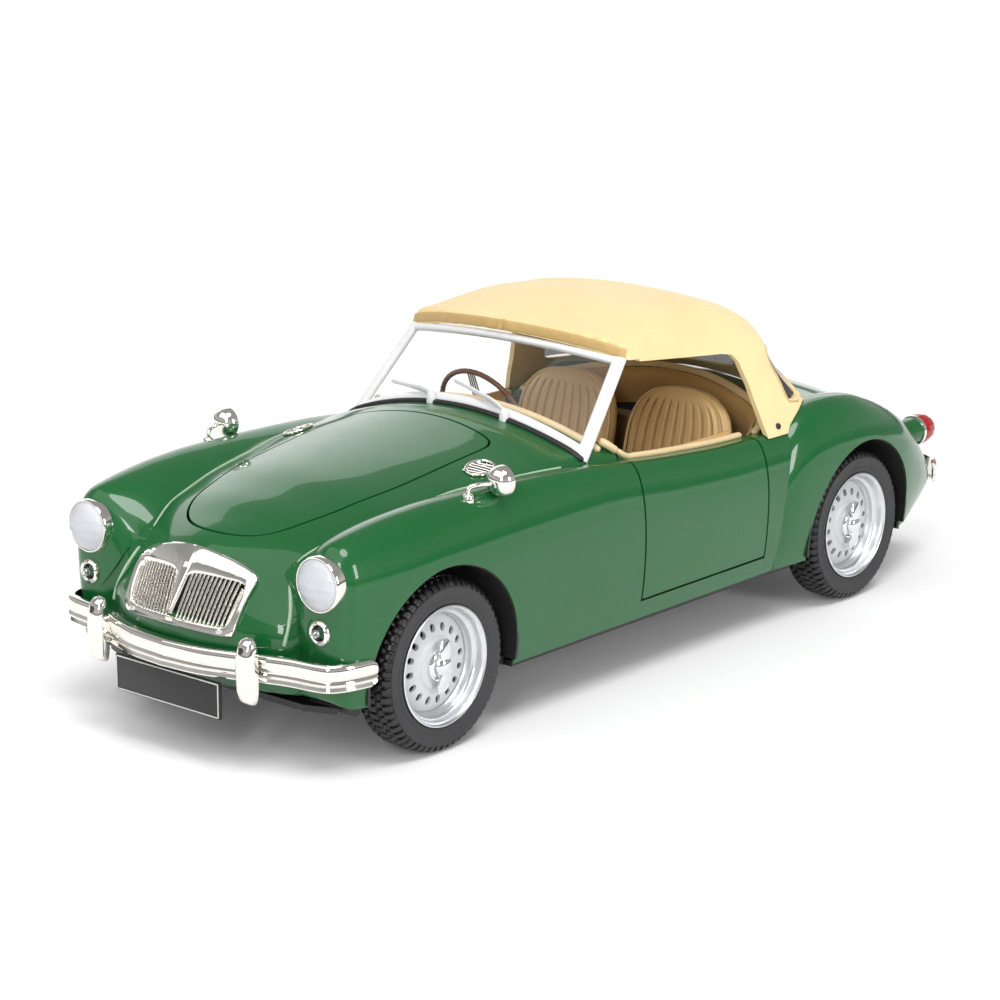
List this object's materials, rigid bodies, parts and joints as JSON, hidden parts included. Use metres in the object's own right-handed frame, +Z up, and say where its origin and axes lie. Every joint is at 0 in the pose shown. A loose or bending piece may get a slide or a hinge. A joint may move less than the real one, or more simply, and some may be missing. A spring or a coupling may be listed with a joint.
{
  "type": "diecast collector car",
  "caption": "Scale model of a 1950s open two-seat sports car with its cream soft top up, opening doors, bonnet and boot, and steering front wheels.",
  "frame": {"origin": "on the ground under the middle of the car's length and width", "axes": "nose towards -Y, car's left side towards +X, +Z up"},
  "size_m": [0.0812, 0.2192, 0.0709],
  "materials": {
    "green_paint": "gloss enamel with clear coat",
    "chrome": "bright plated",
    "cream_fabric": "matt woven hood cloth",
    "tan_vinyl": "satin fluted vinyl",
    "cream_trim": "satin",
    "black_plastic": "satin moulded",
    "tyre_rubber": "matt rubber",
    "silver_paint": "metallic silver",
    "clear_plastic": "clear",
    "red_lens": "clear red",
    "brown_plastic": "gloss",
    "engine_paint": "satin",
    "bright_steel": "turned"
  },
  "bodies": {
    "root": {"base_plate": "black_plastic", "base_screw_front": "bright_steel", "base_screw_rear": "bright_steel", "body_shell": "green_paint", "cockpit_tub": "tan_vinyl", "dashboard": "tan_vinyl", "engine_block": "engine_paint", "exhaust_pipe": "bright_steel", "front_beam": "black_plastic", "front_bumper": "chrome", "front_overrider_left": "chrome", "front_overrider_right": "chrome", "grille_slats": "chrome", "grille_surround": "chrome", "headlamp_bezel_left": "chrome", "headlamp_bezel_right": "chrome", "headlamp_lens_left": "clear_plastic", "headlamp_lens_right": "clear_plastic", "number_plate": "black_plastic", "rear_bumper": "chrome", "scuttle_vent_left": "chrome", "scuttle_vent_right": "chrome", "seat_left": "tan_vinyl", "seat_right": "tan_vinyl", "sidelamp_left": "chrome", "sidelamp_right": "chrome", "steering_column": "black_plastic", "tail_lamp_left": "red_lens", "tail_lamp_right": "red_lens", "windscreen_frame": "chrome", "windscreen_glass": "clear_plastic", "wing_mirror_left": "chrome", "wing_mirror_right": "chrome", "wiper_left": "silver_paint", "wiper_right": "silver_paint"},
    "soft_top": {"soft_top": "cream_fabric", "rear_window": "clear_plastic"},
    "bonnet": {"bonnet": "green_paint"},
    "boot_lid": {"boot_lid": "green_paint"},
    "door_left": {"door_left": "green_paint", "door_trim_left": "cream_trim"},
    "door_right": {"door_right": "green_paint", "door_trim_right": "cream_trim"},
    "knuckle_left": {"steering_knuckle_left": "black_plastic"},
    "knuckle_right": {"steering_knuckle_right": "black_plastic"},
    "tie_rod": {"tie_rod": "bright_steel"},
    "steering_wheel": {"steering_wheel": "brown_plastic"},
    "wheel_front_left": {"tyre_front_left": "tyre_rubber", "rim_front_left": "silver_paint", "spinner_front_left": "chrome"},
    "wheel_front_right": {"tyre_front_right": "tyre_rubber", "rim_front_right": "silver_paint", "spinner_front_right": "chrome"},
    "rear_wheelset": {"tyre_rear_left": "tyre_rubber", "rim_rear_left": "silver_paint", "spinner_rear_left": "chrome", "tyre_rear_right": "tyre_rubber", "rim_rear_right": "silver_paint", "spinner_rear_right": "chrome", "rear_axle": "bright_steel"}
  },
  "joints": [
    {"name": "soft_top_lift", "type": "slide", "parent": "root", "child": "soft_top", "axis": [0, 0, 1], "range_m": [0, 0.03]},
    {"name": "bonnet_hinge", "type": "hinge", "parent": "root", "child": "bonnet", "pos_m": [0, -0.0366, 0.0519], "axis": [-1, 0, 0], "range_deg": [0, 50]},
    {"name": "boot_hinge", "type": "hinge", "parent": "root", "child": "boot_lid", "pos_m": [0, 0.062, 0.0456], "axis": [1, 0, 0], "range_deg": [0, 45]},
    {"name": "door_left_hinge", "type": "hinge", "parent": "root", "child": "door_left", "pos_m": [0.039, -0.0156, 0.029], "axis": [0, 0, -1], "range_deg": [0, 60]},
    {"name": "door_right_hinge", "type": "hinge", "parent": "root", "child": "door_right", "pos_m": [-0.039, -0.0156, 0.029], "axis": [0, 0, 1], "range_deg": [0, 60]},
    {"name": "steer_left", "type": "hinge", "parent": "root", "child": "knuckle_left", "pos_m": [0.0276, -0.0733, 0.0165], "axis": [0, 0, 1], "range_deg": [-18.5, 18.5]},
    {"name": "steer_right", "type": "hinge", "parent": "root", "child": "knuckle_right", "pos_m": [-0.0276, -0.0733, 0.0165], "axis": [0, 0, 1], "range_deg": [-18.5, 18.5]},
    {"name": "tie_rod_slide", "type": "slide", "parent": "root", "child": "tie_rod", "axis": [1, 0, 0], "range_m": [-0.0035, 0.0035]},
    {"name": "steering_wheel_turn", "type": "hinge", "parent": "root", "child": "steering_wheel", "pos_m": [-0.0136, -0.004, 0.0439], "axis": [0, 0.9211, 0.3894], "range_deg": [-60, 60]},
    {"name": "wheel_front_left_spin", "type": "hinge", "parent": "knuckle_left", "child": "wheel_front_left", "pos_m": [0.0333, -0.0733, 0.0165], "axis": [1, 0, 0], "continuous": true},
    {"name": "wheel_front_right_spin", "type": "hinge", "parent": "knuckle_right", "child": "wheel_front_right", "pos_m": [-0.0333, -0.0733, 0.0165], "axis": [1, 0, 0], "continuous": true},
    {"name": "rear_wheelset_spin", "type": "hinge", "parent": "root", "child": "rear_wheelset", "pos_m": [0, 0.0594, 0.0165], "axis": [1, 0, 0], "continuous": true}
  ],
  "couplings": [
    {"joint": "steer_left", "follows": "steering_wheel_turn", "ratio": 0.3},
    {"joint": "steer_right", "follows": "steering_wheel_turn", "ratio": 0.3},
    {"joint": "tie_rod_slide", "follows": "steering_wheel_turn", "m_per_rad": -0.00294}
  ]
}
